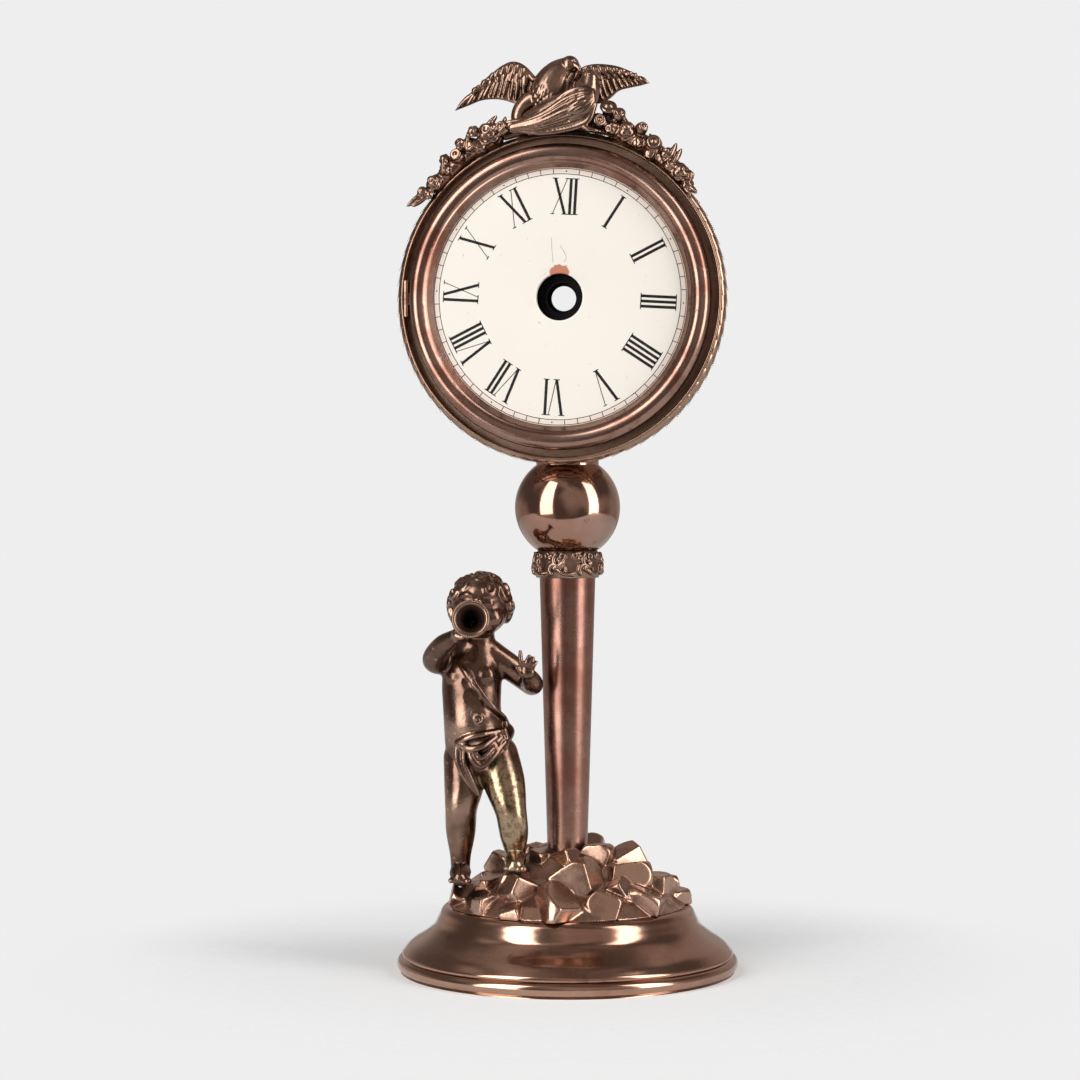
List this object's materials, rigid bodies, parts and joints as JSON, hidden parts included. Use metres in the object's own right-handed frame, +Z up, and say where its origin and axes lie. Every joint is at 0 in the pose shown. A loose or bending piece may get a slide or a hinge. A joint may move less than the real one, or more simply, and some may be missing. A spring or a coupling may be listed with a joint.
{
  "type": "mystery clock",
  "caption": "Figural table clock: a round dial with an open centre on a ball and column, with a horn-blowing cherub on rocks and doves over the drum.",
  "frame": {"origin": "middle of the foot's underside, on the ground", "axes": "+Z up, the dial faces -Y, +X to the viewer's right"},
  "size_m": [0.1196, 0.1196, 0.3186],
  "materials": {
    "worn_plate": "worn polished plate, coppery brown",
    "cast_metal": "dark cast metal, rubbed bright on the high places",
    "steel": "bright steel",
    "blackened_steel": "blackened steel",
    "enamel": "cream enamel",
    "movement_brass": "brushed brass"
  },
  "bodies": {
    "case": {"base_foot": "worn_plate", "rock_mound": "cast_metal", "column": "worn_plate", "collar": "worn_plate", "ball": "worn_plate", "saddle": "worn_plate", "saddle_screws": "steel", "tie_rod": "steel", "tie_rod_washer": "steel", "tie_rod_nut": "steel", "cherub_figure": "cast_metal", "horn": "worn_plate", "figure_screws": "steel", "drum_shell": "worn_plate", "drum_border": "worn_plate", "bezel_hinge_leaf": "worn_plate", "hinge_pins": "steel", "dial": "enamel", "dial_feet": "movement_brass", "dove_folded": "cast_metal", "dove_spread": "cast_metal", "garland_left": "cast_metal", "garland_right": "cast_metal", "crest_screws": "steel", "rear_door_leaf": "worn_plate", "front_plate": "movement_brass", "back_plate": "movement_brass", "plate_pillars": "movement_brass", "pillar_screws": "steel", "movement_posts": "movement_brass", "sight_tube": "blackened_steel", "motion_stud": "steel", "click_screw": "steel", "escapement_bridge": "movement_brass"},
    "front_bezel": {"bezel": "worn_plate"},
    "back_door": {"rear_door": "worn_plate", "rear_door_knob": "worn_plate"},
    "centre": {"centre_pinion": "blackened_steel", "centre_wheel": "movement_brass", "minute_pinion": "movement_brass"},
    "motion": {"motion_wheel": "movement_brass"},
    "hour": {"hour_wheel": "blackened_steel"},
    "barrel": {"mainspring_barrel": "movement_brass", "barrel_cover": "movement_brass", "mainspring": "steel"},
    "winding": {"barrel_arbor": "steel", "ratchet_wheel": "steel"},
    "click_lever": {"click": "steel"},
    "intermediate": {"intermediate_pinion": "steel", "intermediate_wheel": "movement_brass"},
    "third": {"third_pinion": "steel", "third_wheel": "movement_brass"},
    "fourth": {"fourth_pinion": "steel", "fourth_wheel": "movement_brass"},
    "escape": {"escape_pinion": "steel", "escape_wheel": "movement_brass"},
    "lever": {"pallet_lever": "steel"},
    "balance": {"balance_staff": "steel", "balance_wheel": "movement_brass", "hairspring": "steel"}
  },
  "joints": [
    {"name": "bezel_hinge", "type": "hinge", "parent": "case", "child": "front_bezel", "pos_m": [-0.05385, -0.0173, 0.2346], "axis": [0, 0, -1], "range_deg": [0, 105]},
    {"name": "door_hinge", "type": "hinge", "parent": "case", "child": "back_door", "pos_m": [-0.0539, 0.02005, 0.2346], "axis": [0, 0, 1], "range_deg": [0, 110]},
    {"name": "winding_turn", "type": "hinge", "parent": "case", "child": "winding", "pos_m": [-0.02457, 0, 0.21739], "axis": [0, -1, 0], "continuous": true},
    {"name": "click_lift", "type": "hinge", "parent": "case", "child": "click_lever", "pos_m": [-0.02571, 0, 0.23034], "axis": [0, -1, 0], "range_deg": [-15, 0], "stiffness_Nm_per_rad": 0.01},
    {"name": "third_turn", "type": "hinge", "parent": "case", "child": "third", "pos_m": [0.02114, 0, 0.2269], "axis": [0, -1, 0], "continuous": true},
    {"name": "centre_turn", "type": "hinge", "parent": "case", "child": "centre", "pos_m": [0, 0, 0.2346], "axis": [0, -1, 0], "continuous": true},
    {"name": "intermediate_turn", "type": "hinge", "parent": "case", "child": "intermediate", "pos_m": [-0.00465, 0, 0.21075], "axis": [0, -1, 0], "continuous": true},
    {"name": "barrel_turn", "type": "hinge", "parent": "case", "child": "barrel", "pos_m": [-0.02457, 0, 0.21739], "axis": [0, -1, 0], "continuous": true},
    {"name": "fourth_turn", "type": "hinge", "parent": "case", "child": "fourth", "pos_m": [0.02395, 0, 0.24281], "axis": [0, -1, 0], "continuous": true},
    {"name": "escape_turn", "type": "hinge", "parent": "case", "child": "escape", "pos_m": [0.01933, 0, 0.2555], "axis": [0, -1, 0], "continuous": true},
    {"name": "motion_turn", "type": "hinge", "parent": "case", "child": "motion", "pos_m": [-0.01562, 0, 0.25321], "axis": [0, -1, 0], "continuous": true},
    {"name": "hour_turn", "type": "hinge", "parent": "case", "child": "hour", "pos_m": [0, 0, 0.2346], "axis": [0, -1, 0], "continuous": true},
    {"name": "lever_rock", "type": "hinge", "parent": "case", "child": "lever", "pos_m": [0.01197, 0, 0.25975], "axis": [0, -1, 0], "range_deg": [-3, 3]},
    {"name": "balance_swing", "type": "hinge", "parent": "case", "child": "balance", "pos_m": [0.00038, 0, 0.26285], "axis": [0, -1, 0], "range_deg": [-120, 120], "stiffness_Nm_per_rad": 0.00005}
  ],
  "couplings": [
    {"joint": "centre_turn", "follows": "third_turn", "ratio": -0.125},
    {"joint": "intermediate_turn", "follows": "third_turn", "ratio": 0.0625},
    {"joint": "barrel_turn", "follows": "third_turn", "ratio": -0.010417},
    {"joint": "fourth_turn", "follows": "third_turn", "ratio": -7.5},
    {"joint": "escape_turn", "follows": "third_turn", "ratio": 60},
    {"joint": "motion_turn", "follows": "third_turn", "ratio": 0.0625},
    {"joint": "hour_turn", "follows": "third_turn", "ratio": -0.010417}
  ]
}
